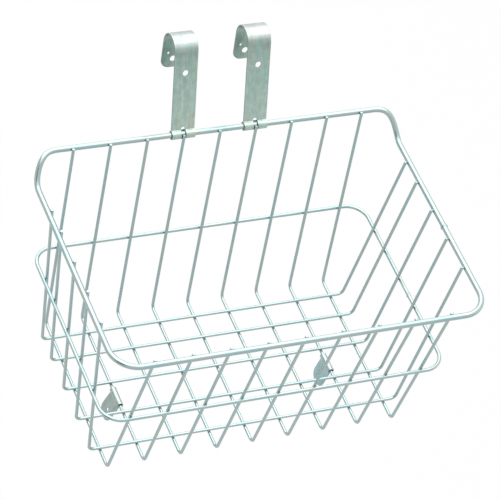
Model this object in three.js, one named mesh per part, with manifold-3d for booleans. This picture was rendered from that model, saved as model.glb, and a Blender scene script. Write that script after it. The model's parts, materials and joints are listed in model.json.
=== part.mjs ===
// A bicycle basket of welded, zinc-plated round wire. Two hook straps are rolled round the back of the
// rim and swing on it, so that they can be hung over a handlebar. Two clips are rolled round wires of the
// floor and take the bolts of the stays that carry the bottom.
// Millimetres, +Z up, +Y towards the rider. Left and right are as seen from the front of the basket.

import * as THREE from "three";
import { mergeVertices } from "three/addons/utils/BufferGeometryUtils.js";
import Module from "manifold-3d";

// Wire stock, by diameter
const RIM_WIRE = 5.5;
const HOOP_WIRE = 3.6;
const LATTICE_WIRE = 3;
const WELD_GAP = 0.1; // left between two wires that are welded where they cross

// Lattice: long wires run front to back, cross wires lie on them and run side to side
const LONG_WIRES = 9;
const LONG_PITCH = 37;
const CROSS_WIRES = 5;
const CROSS_PITCH = 36.7;
const CROSS_LAST_PITCH = 26.6; // the hindmost cross wire stands closer to its neighbour
const SIDE_MARGIN = 11.8; // from the outermost long wires to the floor bends of the cross wires
const FRONT_MARGIN = 21; // from the foremost cross wire to the floor bends of the long wires
const BACK_MARGIN = 21.4; // from the hindmost cross wire to the floor bends of the long wires
const FLOOR_BEND = 6; // radius of a wire's centre line where it turns up into a wall
const END_LEAN = 8.15; // degrees that the front and back walls lean out
const SIDE_LEAN = 6.65; // degrees that the side walls lean out
const SIDE_SWEEP = 1; // degrees that the side wires lean back
const TIP_RISE = 1.5; // a wire's end above the centre line of the rim it is welded to
const BACK_TIP_RISE = 2.7; // the same for the ends at the back

// Rim and middle hoop, heights above the centre of the long wires on the floor
const RIM_HEIGHT = 185.9; // at the front and the sides
const RIM_STEP = 23; // what the back edge stands higher
const RIM_CLIMB = 31; // depth over which the sides climb to the back edge
const RIM_CORNER = 25;
const HOOP_HEIGHT = 91.8;
const HOOP_CORNER = 20;

// Hook straps
const HOOK_PLACE = 1; // pitches of the long wires from the middle of the basket
const HOOK_SHEET = 1.5;
const HOOK_WIDTH = 23.6;
const HOOK_LEAN = 23; // degrees that a strap leans back when it rests on its stop
const HOOK_PLATE = 82.2; // from the rim's centre line to the start of the crown
const BAR_DIAMETER = 25.4; // handlebar
const BAR_CLEARANCE = 0.2; // round the handlebar in the crown
const TONGUE_LENGTH = 29.8; // beyond the crown
const TONGUE_SPREAD = 10.3; // degrees that the tongue opens away from the plate
const TONGUE_CORNER = 8;
const BOLT_HEIGHT = 61.6; // of the bolt that closes the hook, from the rim's centre line
const PLATE_BOLT_HOLE = 5.8; // diameter of its hole in the plate
const TONGUE_BOLT_HOLE = 6.2; // diameter of its hole in the tongue
const PIP_HOLE = 2.6; // diameter of the two small holes in the tongue
const PIP_RISE = 6.6; // of the small holes towards the crown, from the bolt's hole
const PIP_SPACING = 10.6;
const SLOT_WIDTH = 4.4; // slot in the roll that straddles the long wire
const SLOT_TOP = 7.4; // upper end of the slot, from the rim's centre line

// Stay clips
const CLIP_PLACE = 3; // pitches of the long wires from the middle of the basket
const CLIP_BAY = 1; // the clips sit between this cross wire and the next, counted from 0 at the front
const CLIP_SHIFT = 1.8; // towards the back, from the middle between those two cross wires
const CLIP_SHEET = 1;
const CLIP_WIDTH = 21;
const CLIP_LENGTH = 27.2; // from the wire's centre line to the end of the plate
const CLIP_CORNER = 8.5;
const LEFT_CLIP_TILT = 19.3; // degrees that the plate stands off plumb
const RIGHT_CLIP_TILT = 11.5;
const CLIP_BOLT = 17.7; // hole for a stay's bolt, from the wire's centre line
const CLIP_BOLT_HOLE = 3.6;

// Rolled eyes, round the rim and round the floor wires
const HOOK_EYE_CLEARANCE = 0.25; // between a strap's eye and the rim
const CLIP_EYE_CLEARANCE = 0.7; // between a clip's eye and its wire
const ROLL_GAP = 30; // degrees left open between an eye's free edge and the middle of its plate
const STOP_CLEARANCE = 0.15; // between the end of a hook's slot and the wire it rests on
const EDGE_CLEARANCE = 0.1; // what the slot's cutter reaches behind the plate

// Facets
const WIRE_SIDES = 10;
const RIM_SIDES = 12;
const HOLE_SIDES = 24;
const BEND_STEPS = 5; // chords in a floor bend
const CORNER_STEPS = 9; // chords in a corner of the rim or the hoop
const CLIMB_STEPS = 3; // chords of the rim's climb that lie ahead of its back corners
const ROLL_STEPS = 20; // chords in a rolled eye
const CROWN_STEPS = 14; // chords in a hook's crown
const CUT_OVERSHOOT = 1; // what a cutter reaches past the sheet

const ZINC_WIRE = { color: 0xb4c3c0, roughness: 0.3, metalness: 1 };
const ZINC_SHEET = { color: 0x9fb4ac, roughness: 0.38, metalness: 1 };

const { degToRad } = THREE.MathUtils;
const wasm = await Module();
wasm.setup();

// Where the wires lie, from the middle of the floor

const longReach = ((LONG_WIRES - 1) / 2) * LONG_PITCH;
const floorHalfWidth = longReach + SIDE_MARGIN;
const crossDepth = (CROSS_WIRES - 2) * CROSS_PITCH + CROSS_LAST_PITCH;
const floorHalfDepth = (FRONT_MARGIN + crossDepth + BACK_MARGIN) / 2;
const crossHeight = LATTICE_WIRE + WELD_GAP;

function crossWireY(index) {
  const fromFront = Math.min(index, CROSS_WIRES - 2) * CROSS_PITCH;
  const last = index === CROSS_WIRES - 1 ? CROSS_LAST_PITCH : 0;
  return -floorHalfDepth + FRONT_MARGIN + fromFront + last;
}

// How far out the wires of the end walls and of the side walls are at a height.
function endWallAt(height) {
  return floorHalfDepth + height * Math.tan(degToRad(END_LEAN));
}
function sideWallAt(height) {
  return floorHalfWidth + (height - crossHeight) * Math.tan(degToRad(SIDE_LEAN));
}

// A loop that is welded round the outside of the walls at a height.
function outsideEnd(height, diameter) {
  const apart = (LATTICE_WIRE + diameter) / 2 + WELD_GAP;
  return endWallAt(height) + apart / Math.cos(degToRad(END_LEAN));
}
function outsideSide(height, diameter) {
  const apart = (LATTICE_WIRE + diameter) / 2 + WELD_GAP;
  return sideWallAt(height) + apart / Math.cos(degToRad(SIDE_LEAN));
}

const rimBackHeight = RIM_HEIGHT + RIM_STEP;
const rimBackY = outsideEnd(rimBackHeight, RIM_WIRE);

// Centre lines

// A centre line that is known at its stations only: the ends of the straight runs and a few points round
// each bend. A sweep sets one ring on each station, square to the half angle between its two runs.
class StationLine extends THREE.Curve {
  constructor(stations, closed = false) {
    super();
    this.stations = stations;
    this.closed = closed;
    this.steps = closed ? stations.length : stations.length - 1;
  }

  at(index) {
    const count = this.stations.length;
    if (this.closed) return this.stations[(index + count) % count];
    return this.stations[THREE.MathUtils.clamp(index, 0, count - 1)];
  }

  getPointAt(u, target = new THREE.Vector3()) {
    return target.copy(this.at(Math.round(u * this.steps)));
  }

  getTangentAt(u, target = new THREE.Vector3()) {
    const index = Math.round(u * this.steps);
    const arriving = this.at(index).clone().sub(this.at(index - 1)).normalize();
    const leaving = this.at(index + 1).clone().sub(this.at(index)).normalize();
    return target.addVectors(arriving, leaving).normalize();
  }
}

// Points of the arc that rounds the corner between two straight runs.
function roundedCorner(before, corner, after, radius, steps) {
  const arriving = corner.clone().sub(before).normalize();
  const leaving = after.clone().sub(corner).normalize();
  const turn = arriving.angleTo(leaving);
  const inward = leaving.clone().addScaledVector(arriving, -Math.cos(turn)).normalize();
  const start = corner.clone().addScaledVector(arriving, -radius * Math.tan(turn / 2));
  const centre = start.clone().addScaledVector(inward, radius);
  return Array.from({ length: steps + 1 }, (_, step) => {
    const angle = (turn * step) / steps;
    return centre
      .clone()
      .addScaledVector(inward, -radius * Math.cos(angle))
      .addScaledVector(arriving, radius * Math.sin(angle));
  });
}

// An open wire through its corners, each one rounded.
function bentWire(corners, radius) {
  const stations = [corners[0]];
  for (let i = 1; i < corners.length - 1; i++) {
    stations.push(...roundedCorner(corners[i - 1], corners[i], corners[i + 1], radius, BEND_STEPS));
  }
  stations.push(corners.at(-1));
  return new StationLine(stations);
}

// A closed loop with rounded corners round the basket, lifted to the height that goes with each depth.
// The side runs are straight between the corners, apart from a station at each depth in sideStops.
function roundLoop(halfWidth, frontY, backY, radius, heightAt, sideStops = []) {
  const frontRight = new THREE.Vector3(halfWidth, frontY, 0);
  const backRight = new THREE.Vector3(halfWidth, backY, 0);
  const backLeft = new THREE.Vector3(-halfWidth, backY, 0);
  const frontLeft = new THREE.Vector3(-halfWidth, frontY, 0);
  const rightStops = sideStops.map((y) => new THREE.Vector3(halfWidth, y, 0));
  const leftStops = sideStops.map((y) => new THREE.Vector3(-halfWidth, y, 0)).reverse();
  const stations = [
    ...roundedCorner(frontLeft, frontRight, backRight, radius, CORNER_STEPS),
    ...rightStops,
    ...roundedCorner(frontRight, backRight, backLeft, radius, CORNER_STEPS),
    ...roundedCorner(backRight, backLeft, frontLeft, radius, CORNER_STEPS),
    ...leftStops,
    ...roundedCorner(backLeft, frontLeft, frontRight, radius, CORNER_STEPS),
  ];
  stations.forEach((station) => station.setZ(heightAt(station.y)));
  return new StationLine(stations, true);
}

// An arc in the plane across a strap, in degrees from +Y towards +Z.
function arcAcross(centreY, centreZ, radius, from, to, steps) {
  return Array.from({ length: steps + 1 }, (_, step) => {
    const angle = degToRad(from + ((to - from) * step) / steps);
    return new THREE.Vector3(0, centreY + radius * Math.cos(angle), centreZ + radius * Math.sin(angle));
  });
}

// Solids

function roundSection(diameter, sides) {
  const corners = Array.from({ length: sides }, (_, side) => {
    const angle = (2 * Math.PI * side) / sides;
    return new THREE.Vector2(Math.cos(angle), Math.sin(angle)).multiplyScalar(diameter / 2);
  });
  return new THREE.Shape(corners);
}

function flatSection(width, thickness) {
  const corners = [
    new THREE.Vector2(-width / 2, -thickness / 2),
    new THREE.Vector2(width / 2, -thickness / 2),
    new THREE.Vector2(width / 2, thickness / 2),
    new THREE.Vector2(-width / 2, thickness / 2),
  ];
  return new THREE.Shape(corners);
}

function sweep(section, line) {
  return new THREE.ExtrudeGeometry(section, { extrudePath: line, steps: line.steps });
}

function closedTube(line, diameter) {
  return new THREE.TubeGeometry(line, line.steps, diameter / 2, RIM_SIDES, true);
}

function solidOf(geometry) {
  const bare = new THREE.BufferGeometry();
  bare.setAttribute("position", geometry.getAttribute("position"));
  if (geometry.index) bare.setIndex(geometry.index);
  const merged = mergeVertices(bare, 1e-4);
  const mesh = new wasm.Mesh({
    numProp: 3,
    vertProperties: merged.getAttribute("position").array,
    triVerts: new Uint32Array(merged.index.array),
  });
  return new wasm.Manifold(mesh);
}

function cutAway(geometry, cutters) {
  const cut = cutters.reduce((body, cutter) => body.subtract(solidOf(cutter)), solidOf(geometry));
  const mesh = cut.getMesh();
  const result = new THREE.BufferGeometry();
  result.setAttribute("position", new THREE.BufferAttribute(mesh.vertProperties, 3));
  result.setIndex(new THREE.BufferAttribute(mesh.triVerts, 1));
  result.computeVertexNormals();
  return result;
}

// Cutters for a plate that lies across Y and runs down from the origin of its frame.

function drill(diameter, sheet, x, down, frame) {
  const length = sheet + 2 * CUT_OVERSHOOT;
  const cylinder = new THREE.CylinderGeometry(diameter / 2, diameter / 2, length, HOLE_SIDES);
  return cylinder.translate(x, 0, -down).applyMatrix4(frame);
}

// What is trimmed off a plate's end to round both its corners.
function endTrim(width, sheet, length, radius, frame) {
  const side = width / 2;
  const low = -length - CUT_OVERSHOOT;
  const shape = new THREE.Shape();
  shape.moveTo(-side - CUT_OVERSHOOT, low);
  shape.lineTo(side + CUT_OVERSHOOT, low);
  shape.lineTo(side + CUT_OVERSHOOT, radius - length);
  shape.absarc(side - radius, radius - length, radius, 0, -Math.PI / 2, true);
  shape.absarc(radius - side, radius - length, radius, -Math.PI / 2, -Math.PI, true);
  shape.lineTo(-side - CUT_OVERSHOOT, radius - length);
  const depth = sheet + 2 * CUT_OVERSHOOT;
  const settings = { depth, bevelEnabled: false, curveSegments: CORNER_STEPS };
  return new THREE.ExtrudeGeometry(shape, settings)
    .translate(0, 0, -depth / 2)
    .rotateX(Math.PI / 2)
    .applyMatrix4(frame);
}

// The basket's wires

function longWire(x) {
  const frontTip = RIM_HEIGHT + TIP_RISE;
  const backTip = rimBackHeight + BACK_TIP_RISE;
  const corners = [
    new THREE.Vector3(x, -endWallAt(frontTip), frontTip),
    new THREE.Vector3(x, -floorHalfDepth, 0),
    new THREE.Vector3(x, floorHalfDepth, 0),
    new THREE.Vector3(x, endWallAt(backTip), backTip),
  ];
  return sweep(roundSection(LATTICE_WIRE, WIRE_SIDES), bentWire(corners, FLOOR_BEND));
}

function crossWire(y) {
  const tip = RIM_HEIGHT + TIP_RISE;
  const tipX = sideWallAt(tip);
  const tipY = y + (tip - crossHeight) * Math.tan(degToRad(SIDE_SWEEP));
  const corners = [
    new THREE.Vector3(-tipX, tipY, tip),
    new THREE.Vector3(-floorHalfWidth, y, crossHeight),
    new THREE.Vector3(floorHalfWidth, y, crossHeight),
    new THREE.Vector3(tipX, tipY, tip),
  ];
  return sweep(roundSection(LATTICE_WIRE, WIRE_SIDES), bentWire(corners, FLOOR_BEND));
}

// The rim is level at the front and the sides, and climbs round its back corners to the higher back edge.
function rimWire() {
  const halfWidth = outsideSide(RIM_HEIGHT, RIM_WIRE);
  const frontY = -outsideEnd(RIM_HEIGHT, RIM_WIRE);
  const climbY = rimBackY - RIM_CLIMB;
  const cornerY = rimBackY - RIM_CORNER;
  const heightAt = (y) => RIM_HEIGHT + RIM_STEP * THREE.MathUtils.smoothstep(y, climbY, rimBackY);
  const climbStops = Array.from(
    { length: CLIMB_STEPS },
    (_, step) => climbY + ((cornerY - climbY) * step) / CLIMB_STEPS,
  ).filter((y) => y < cornerY);
  const line = roundLoop(halfWidth, frontY, rimBackY, RIM_CORNER, heightAt, climbStops);
  return closedTube(line, RIM_WIRE);
}

function middleHoop() {
  const halfWidth = outsideSide(HOOP_HEIGHT, HOOP_WIRE);
  const endY = outsideEnd(HOOP_HEIGHT, HOOP_WIRE);
  const line = roundLoop(halfWidth, -endY, endY, HOOP_CORNER, () => HOOP_HEIGHT);
  return closedTube(line, HOOP_WIRE);
}

// Straps rolled round a wire that runs along X through the origin, with the plate standing up along +Z

function rollRadius(wire, clearance, sheet) {
  return wire / 2 + clearance + sheet / 2;
}

// Centre line of the eye: from its free edge behind the plate, down the back of the wire, under it and up
// its front, then through a bend the other way that turns it up into the plate.
function rolledEye(wire, clearance, sheet) {
  const roll = rollRadius(wire, clearance, sheet);
  const neck = sheet; // radius of the bend into the plate
  const neckSide = Math.acos(-neck / (roll + neck));
  const neckAngle = THREE.MathUtils.radToDeg(neckSide);
  const neckY = (roll + neck) * Math.cos(neckSide);
  const neckZ = (roll + neck) * Math.sin(neckSide);
  const eye = arcAcross(0, 0, roll, 90 - ROLL_GAP, neckAngle - 360, ROLL_STEPS);
  const bend = arcAcross(neckY, neckZ, neck, neckAngle - 180, 0, BEND_STEPS);
  return [...eye, ...bend.slice(1)];
}

// The cutters for the slot run from above the roll, over its front, to where the slot's lower end rests on
// the long wire. That wire leans with the back wall, just in front of the rim.
function hookSlot() {
  const outer = rollRadius(RIM_WIRE, HOOK_EYE_CLEARANCE, HOOK_SHEET) + HOOK_SHEET / 2;
  const wireFace = RIM_WIRE / 2 + WELD_GAP;
  const wireEdge = Math.acos(wireFace / outer) + STOP_CLEARANCE / outer;
  const lowerEnd = Math.PI - degToRad(END_LEAN) + wireEdge + degToRad(HOOK_LEAN);
  const far = 2 * outer;
  const roundZ = SLOT_TOP - SLOT_WIDTH / 2;
  const backY = HOOK_SHEET / 2 + EDGE_CLEARANCE;
  const wedge = new THREE.Shape();
  wedge.moveTo(0, 0);
  wedge.lineTo(backY, roundZ);
  wedge.lineTo(-far, roundZ);
  wedge.lineTo(-far, far * Math.sin(lowerEnd));
  wedge.lineTo(far * Math.cos(lowerEnd), far * Math.sin(lowerEnd));
  const toStrap = new THREE.Matrix4().makeBasis(
    new THREE.Vector3(0, 1, 0),
    new THREE.Vector3(0, 0, 1),
    new THREE.Vector3(1, 0, 0),
  );
  const front = new THREE.ExtrudeGeometry(wedge, { depth: SLOT_WIDTH, bevelEnabled: false })
    .translate(0, 0, -SLOT_WIDTH / 2)
    .applyMatrix4(toStrap);
  const reach = far + backY;
  const roundEnd = new THREE.CylinderGeometry(SLOT_WIDTH / 2, SLOT_WIDTH / 2, reach, HOLE_SIDES);
  return [front, roundEnd.translate(0, backY - reach / 2, roundZ)];
}

const crownRadius = BAR_DIAMETER / 2 + BAR_CLEARANCE + HOOK_SHEET / 2;

function hookStrap() {
  const spread = degToRad(TONGUE_SPREAD);
  const crown = arcAcross(crownRadius, HOOK_PLATE, crownRadius, 180, TONGUE_SPREAD, CROWN_STEPS);
  const crownEnd = crown.at(-1);
  const tongue = new THREE.Matrix4().makeRotationX(spread).setPosition(crownEnd);
  const tip = new THREE.Vector3(0, 0, -TONGUE_LENGTH).applyMatrix4(tongue);
  const eye = rolledEye(RIM_WIRE, HOOK_EYE_CLEARANCE, HOOK_SHEET);
  const line = new StationLine([...eye, ...crown, tip]);

  // The bolt that closes the hook passes as far from the crown in the tongue as it does in the plate.
  const plate = new THREE.Matrix4();
  const tongueBolt = HOOK_PLATE - BOLT_HEIGHT;
  const pips = [-PIP_SPACING / 2, PIP_SPACING / 2];
  return cutAway(sweep(flatSection(HOOK_WIDTH, HOOK_SHEET), line), [
    ...hookSlot(),
    drill(PLATE_BOLT_HOLE, HOOK_SHEET, 0, -BOLT_HEIGHT, plate),
    drill(TONGUE_BOLT_HOLE, HOOK_SHEET, 0, tongueBolt, tongue),
    ...pips.map((x) => drill(PIP_HOLE, HOOK_SHEET, x, tongueBolt - PIP_RISE, tongue)),
    endTrim(HOOK_WIDTH, HOOK_SHEET, TONGUE_LENGTH, TONGUE_CORNER, tongue),
  ]);
}

function stayClip() {
  const eye = rolledEye(LATTICE_WIRE, CLIP_EYE_CLEARANCE, CLIP_SHEET);
  const end = new THREE.Vector3(0, 0, CLIP_LENGTH);
  const line = new StationLine([...eye, end]);
  const plate = new THREE.Matrix4().makeRotationY(Math.PI);
  return cutAway(sweep(flatSection(CLIP_WIDTH, CLIP_SHEET), line), [
    drill(CLIP_BOLT_HOLE, CLIP_SHEET, 0, CLIP_BOLT, plate),
    endTrim(CLIP_WIDTH, CLIP_SHEET, CLIP_LENGTH, CLIP_CORNER, plate),
  ]);
}

// Assembly

function piece(name, geometry, finish) {
  const mesh = new THREE.Mesh(geometry, new THREE.MeshStandardMaterial(finish));
  mesh.name = name;
  return mesh;
}

const basket = new THREE.Group();
basket.add(piece("rim_wire", rimWire(), ZINC_WIRE));
basket.add(piece("middle_hoop", middleHoop(), ZINC_WIRE));
for (let i = 0; i < LONG_WIRES; i++) {
  basket.add(piece(`long_wire_${i + 1}`, longWire(i * LONG_PITCH - longReach), ZINC_WIRE));
}
for (let i = 0; i < CROSS_WIRES; i++) {
  basket.add(piece(`cross_wire_${i + 1}`, crossWire(crossWireY(i)), ZINC_WIRE));
}

const sides = [
  ["left", -1, LEFT_CLIP_TILT],
  ["right", 1, RIGHT_CLIP_TILT],
];
for (const [side, sign, clipTilt] of sides) {
  const hook = new THREE.Group();
  hook.position.set(sign * HOOK_PLACE * LONG_PITCH, rimBackY, rimBackHeight);
  hook.rotation.x = -degToRad(HOOK_LEAN);
  hook.add(piece(`${side}_hook_strap`, hookStrap(), ZINC_SHEET));
  basket.add(hook);

  const clip = new THREE.Group();
  const clipY = (crossWireY(CLIP_BAY) + crossWireY(CLIP_BAY + 1)) / 2 + CLIP_SHIFT;
  clip.position.set(sign * CLIP_PLACE * LONG_PITCH, clipY, 0);
  clip.rotation.y = degToRad(clipTilt);
  const hanging = piece(`${side}_stay_clip`, stayClip(), ZINC_SHEET);
  hanging.rotation.set(Math.PI, 0, -Math.PI / 2);
  clip.add(hanging);
  basket.add(clip);
}

// The handlebar's centre line, in the crowns of the hooks, is the X axis of the whole part.
const barInStrap = new THREE.Vector3(0, crownRadius, HOOK_PLATE);
const barInBasket = barInStrap
  .applyAxisAngle(new THREE.Vector3(1, 0, 0), -degToRad(HOOK_LEAN))
  .add(new THREE.Vector3(0, rimBackY, rimBackHeight));
basket.position.copy(barInBasket).negate();

const part = new THREE.Group();
part.add(basket);

export default part;
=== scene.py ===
"""The bicycle basket in bright zinc plate: welded round wire, rolled hook straps and stay clips, on white."""

import json
from math import acos, asin, ceil, cos, degrees, pi, radians, sin, tan

import bmesh
import bpy
import numpy as np
from mathutils import Matrix, Vector, noise
from mathutils.geometry import delaunay_2d_cdt


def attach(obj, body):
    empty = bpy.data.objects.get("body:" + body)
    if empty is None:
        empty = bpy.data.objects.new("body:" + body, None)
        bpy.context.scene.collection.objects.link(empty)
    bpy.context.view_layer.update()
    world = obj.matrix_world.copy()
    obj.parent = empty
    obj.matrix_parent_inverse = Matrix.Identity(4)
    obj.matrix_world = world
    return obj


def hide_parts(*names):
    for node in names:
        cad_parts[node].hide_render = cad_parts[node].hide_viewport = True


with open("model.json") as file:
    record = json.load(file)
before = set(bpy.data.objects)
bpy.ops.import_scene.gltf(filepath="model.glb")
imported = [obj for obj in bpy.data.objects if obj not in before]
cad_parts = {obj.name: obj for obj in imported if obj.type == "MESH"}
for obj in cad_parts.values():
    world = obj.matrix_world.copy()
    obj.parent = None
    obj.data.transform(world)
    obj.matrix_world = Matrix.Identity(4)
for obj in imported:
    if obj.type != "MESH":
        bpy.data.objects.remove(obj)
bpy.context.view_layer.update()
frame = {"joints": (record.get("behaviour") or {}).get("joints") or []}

METRE = 1000  # the basket's sizes are in millimetres, and the camera and the studio are in metres

# Sizes of the basket, as in the part's source unless a comment says otherwise
RIM_WIRE = 5.5
HOOP_WIRE = 3.6
LATTICE_WIRE = 3
WELD_GAP = 0.1  # between two wires that a weld joins
LONG_WIRES = 9
LONG_PITCH = 37
CROSS_WIRES = 5
CROSS_PITCH = 36.7
CROSS_LAST_PITCH = 26.6
SIDE_MARGIN = 11.8  # from the outermost long wire to the corners of the cross wires
FRONT_MARGIN = 21  # from the front corners of the long wires to the first cross wire
BACK_MARGIN = 21.4
FLOOR_BEND = 6
END_LEAN = radians(8.15)
SIDE_LEAN = radians(6.65)
SIDE_SWEEP = radians(1)  # of the side walls' wires, towards the back
TIP_RISE = 1.5  # of the wires' ends above the rim's centre line
BACK_TIP_RISE = 2.7
RIM_HEIGHT = 185.9
RIM_STEP = 23  # of the rim's back edge above its front and sides
RIM_FRONT_CORNER = 25
RIM_BACK_CORNER = 22.8  # this and the climb are a little tighter than the solid's, as the photograph shows
RIM_CLIMB = 29.4
RIM_CLIMB_END = 1  # from the top of the climb to the back edge
RIM_CLIMB_EASE = 1.34  # 1 would climb evenly from both ends, and more starts gently and ends briskly
HOOP_HEIGHT = 91.8
HOOP_CORNER = 20

# Sizes of the hook straps and the stay clips
HOOK_SHEET = 1.5
HOOK_WIDTH = 23.6
HOOK_LEAN = radians(23)
HOOK_PLATE = 82.2  # from the rim's centre line up to the crown
CROWN_INSIDE = 12.9
TONGUE_LENGTH = 29.8
TONGUE_SPREAD = 10.3  # in degrees
TONGUE_CORNER = 8
BOLT_HEIGHT = 61.6  # above the rim's centre line
PLATE_BOLT_HOLE = 5.8
TONGUE_BOLT_HOLE = 6.2
PIP_HOLE = 2.6
PIP_RISE = 6.6  # of the two small holes over the tongue's bolt hole
PIP_SPACING = 10.6
SLOT_WIDTH = 4.4
SLOT_TOP = 7.4  # above the rim's centre line
SLOT_CORNER = 1.2
STOP_CLEARANCE = 0.15  # between the slot's lower end and the wire that it rests on
CLIP_SHEET = 1
CLIP_WIDTH = 21
CLIP_LENGTH = 27.2
CLIP_CORNER = 8.5
CLIP_TILT = {"left": radians(19.3), "right": radians(11.5)}
CLIP_BOLT = 17.7  # from the wire's centre line along the plate
CLIP_BOLT_HOLE = 3.6
HOOK_EYE_CLEARANCE = 0.25
CLIP_EYE_CLEARANCE = 0.7
ROLL_GAP = 30  # degrees from the free edge of a roll to the line of its plate
EYE_CORNER = 0.9

# Finish of the metal
CUT_ROUND = 0.35  # rounding of a wire's cut end
SHEET_ROUND = 0.2  # rounding of a sheet's edges, as a share of its thickness
WELD_FILLET = 0.5  # height of the metal that a weld squeezes out between two wires
WELD_UNEVEN = 0.22  # how much that height varies round a weld
WELD_WAIST = 0.5  # gap between the wires where the fillet is narrowest, as a share of that height
WELD_ROOT = 0.75  # reach of the fillet's ends inside the wires, as a share of its foot
WELD_SINK = 0.5  # depth of those ends, as a share of the fillet's height
BUTT_SWELL = 0.34  # how far the butt weld of a loop stands proud, as a share of its wire's radius
BUTT_LENGTH = 1.1  # half the length of that weld
RIM_BUTT_Y = -13.5
HOOP_BUTT_Y = -15.5

# Fineness of the meshes
WIRE_SIDES = 28
LOOP_SIDES = 36
ARC_STEP = 5  # degrees between the rings of a wire's bend
RUN_STEP = 9  # between the rings of a straight run
CLIMB_STEP = 0.8  # between the rings of the rim's climb
BUTT_REACH = 3 * BUTT_LENGTH  # of the close rings to either side of a butt weld
BUTT_STEP = BUTT_LENGTH / 3
WELD_SIDES = 20
WELD_RINGS = 7
WELD_HALVINGS = 30  # in the search for a fillet's reach
WELD_LIMIT = 0.999  # of that reach, as a share of the thinner wire's radius
SHEET_STEP = 1.9  # between the rows and columns of a sheet
SHEET_ARC_STEP = 10  # degrees between the rows of a sheet's bend
SHEET_MARGIN = 0.4  # from a sheet's edges to its inner points
ROW_MARGIN = 0.1  # from a rounded corner to the points of a straight side
END_POINTS = 6  # across the far end of a sheet
CORNER_STEPS = 4  # fewest in a rounded corner
CORNER_FINENESS = 1.5  # steps in a rounded corner for each millimetre of its radius
SLOT_TOP_POINTS = 13
BOLT_HOLE_SIDES = 32
CLIP_HOLE_SIDES = 24
PIP_SIDES = 20
ROUND_STEPS = 3  # facets in a rounded edge
SAME_POINT = 1e-6  # distance below which two points of a blank are one
JOIN_BEND = radians(30)  # most that two triangles of a sheet may be bent to become one face
JOIN_SKEW = radians(40)  # most that such a face may differ from a rectangle

# Noise, in which each piece and each weld has a place of its own
NOISE_SEED = 2
PIECE_SPREAD = 1000
WELD_SHAPE_STEP = 3.7
WELD_LOOK_STEP = 50
SHEET_SIDE_STEP = 40  # to either side of the middle, for the two faces of a sheet

# Looks of the wire: scales of its noise round the wire and along it, and colours by the value of a noise
WIRE_LINES = (7, 7, 0.06)
WIRE_CLOUDS = (0.8, 0.8, 0.03)
WIRE_TINTS = [
    (0.34, (0.4, 0.465, 0.44)),
    (0.5, (0.37, 0.465, 0.46)),
    (0.64, (0.325, 0.455, 0.475)),
]
WIRE_ROUGHNESS = (0.22, 0.34)
WIRE_RELIEF = 0.3
LINE_DEPTH = 0.02 / METRE

# Looks of the sheet: scales of its noise across the strip, along it and through it, and shades by a noise
SHEET_LINES = (4.5, 0.07, 1)
SHEET_BANDS = (0.2, 0.016, 1)
SHEET_STREAKS = (1.1, 0.025, 1)
SHEET_STAINS = (0.2, 0.12, 1)
SHEET_FILM = [
    (0.32, (1.04, 0.98, 0.9)),
    (0.43, (0.92, 1.01, 0.95)),
    (0.54, (0.9, 0.98, 1.02)),
    (0.66, (1.05, 1, 0.94)),
]
STREAK_SHADES = (0.87, 1.1)
STAIN_SHADES = (0.87, 1.12)
# painted shade on the sheets' rounded edges and the walls of their holes, as if seen in shadow
CUT_EDGE_PAINTED_SHADE = (0.2, 0.25, 0.235, 1)
SHEET_ROUGHNESS = (0.3, 0.42)
SHEET_RELIEF = 0.25

# Base colours by the share of a strip's length, from the free edge of its eye, with painted light and shade
STRAP_STRIP_LENGTH = 170
# painted light and shade along the strap: lighter at the eye, darkest just below the crown, a neutral grey
# painted reflection over the crown, then lighter, darker and lighter again down the tongue
STRAP_PAINTED_SHADING = [
    (0.13, (0.44, 0.52, 0.475)),
    (0.35, (0.385, 0.485, 0.445)),
    (0.52, (0.345, 0.445, 0.4)),
    (0.58, (0.295, 0.385, 0.355)),
    (0.64, (0.415, 0.445, 0.43)),
    (0.7, (0.375, 0.375, 0.365)),
    (0.77, (0.345, 0.35, 0.335)),
    (0.82, (0.46, 0.56, 0.52)),
    (0.88, (0.345, 0.435, 0.4)),
    (0.97, (0.41, 0.49, 0.45)),
]
CLIP_STRIP_LENGTH = 40
# each clip's own tint, the right one bluish, with a painted highlight that makes the rolled eye lighter than
# the plate
CLIP_TINTS_AND_PAINTED_LIGHT = {
    "left": [(0.35, (0.43, 0.48, 0.45)), (0.5, (0.375, 0.44, 0.42))],
    "right": [(0.35, (0.43, 0.49, 0.49)), (0.5, (0.345, 0.475, 0.5))],
}

# Photograph: where the camera stands, in metres from the handlebar's middle, and how it looks
CAMERA_PLACE = Vector((-1.11635, -1.79207, 1.90815))
CAMERA_AZIMUTH = radians(34.3079)
CAMERA_FALL = radians(45.6497)
CAMERA_ROLL = radians(17.7626)
CAMERA_LENS = 219.311

# Studio
FLOOR_LEVEL = -1.5
FLOOR_SIZE = 60
FLOOR_PAINT = (0.9, 0.9, 0.9, 1)
FLOOR_GLOW = 0.93  # share of plain white where the camera or the metal sees the floor
WHITE = (1, 1, 1, 1)
FILL_WORLD = 0.35  # strength of the world's light where neither the camera nor the metal sees it
CARD_SHADE = (0.06, 0.06, 0.06, 1)


# Where the wires lie, from the middle of the floor

long_reach = (LONG_WIRES - 1) / 2 * LONG_PITCH
floor_half_width = long_reach + SIDE_MARGIN
cross_depth = (CROSS_WIRES - 2) * CROSS_PITCH + CROSS_LAST_PITCH
floor_half_depth = (FRONT_MARGIN + cross_depth + BACK_MARGIN) / 2
cross_height = LATTICE_WIRE + WELD_GAP
long_wire_x = [i * LONG_PITCH - long_reach for i in range(LONG_WIRES)]
cross_wire_y = [
    FRONT_MARGIN
    - floor_half_depth
    + min(i, CROSS_WIRES - 2) * CROSS_PITCH
    + (CROSS_LAST_PITCH if i == CROSS_WIRES - 1 else 0)
    for i in range(CROSS_WIRES)
]


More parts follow.
